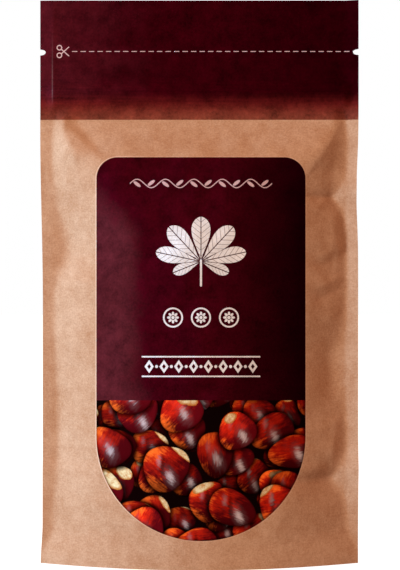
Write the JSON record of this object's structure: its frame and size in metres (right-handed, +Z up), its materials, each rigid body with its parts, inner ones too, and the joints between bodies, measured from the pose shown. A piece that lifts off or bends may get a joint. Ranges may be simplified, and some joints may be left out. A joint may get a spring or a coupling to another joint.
{
  "type": "stand-up pouch",
  "caption": "Sealed stand-up pouch of kraft laminate with a bottom gusset, press-to-close zip, tear notches and a printed label panel, filled with loose conkers.",
  "frame": {"origin": "middle of the oval rim that the pouch stands on, on the surface", "axes": "+Z up, +X to the viewer's right, the printed front faces -Y"},
  "size_m": [0.159, 0.0526, 0.281],
  "materials": {
    "kraft_paper": "matte",
    "zip_plastic": "satin",
    "conker_skin": "gloss"
  },
  "bodies": {
    "root": {"front_panel": "kraft_paper", "back_panel": "kraft_paper", "bottom_gusset": "kraft_paper", "zip_rib_strip": "zip_plastic", "zip_channel_strip": "zip_plastic", "conker_01": "conker_skin", "conker_02": "conker_skin", "conker_03": "conker_skin", "conker_04": "conker_skin", "conker_05": "conker_skin", "conker_06": "conker_skin", "conker_07": "conker_skin", "conker_08": "conker_skin", "conker_09": "conker_skin", "conker_10": "conker_skin", "conker_11": "conker_skin", "conker_12": "conker_skin", "conker_13": "conker_skin", "conker_14": "conker_skin", "conker_15": "conker_skin", "conker_16": "conker_skin", "conker_17": "conker_skin", "conker_18": "conker_skin", "conker_19": "conker_skin", "conker_20": "conker_skin", "conker_21": "conker_skin", "conker_22": "conker_skin", "conker_23": "conker_skin", "conker_24": "conker_skin", "conker_25": "conker_skin", "conker_26": "conker_skin", "conker_27": "conker_skin", "conker_28": "conker_skin", "conker_29": "conker_skin", "conker_30": "conker_skin"}
  },
  "joints": []
}
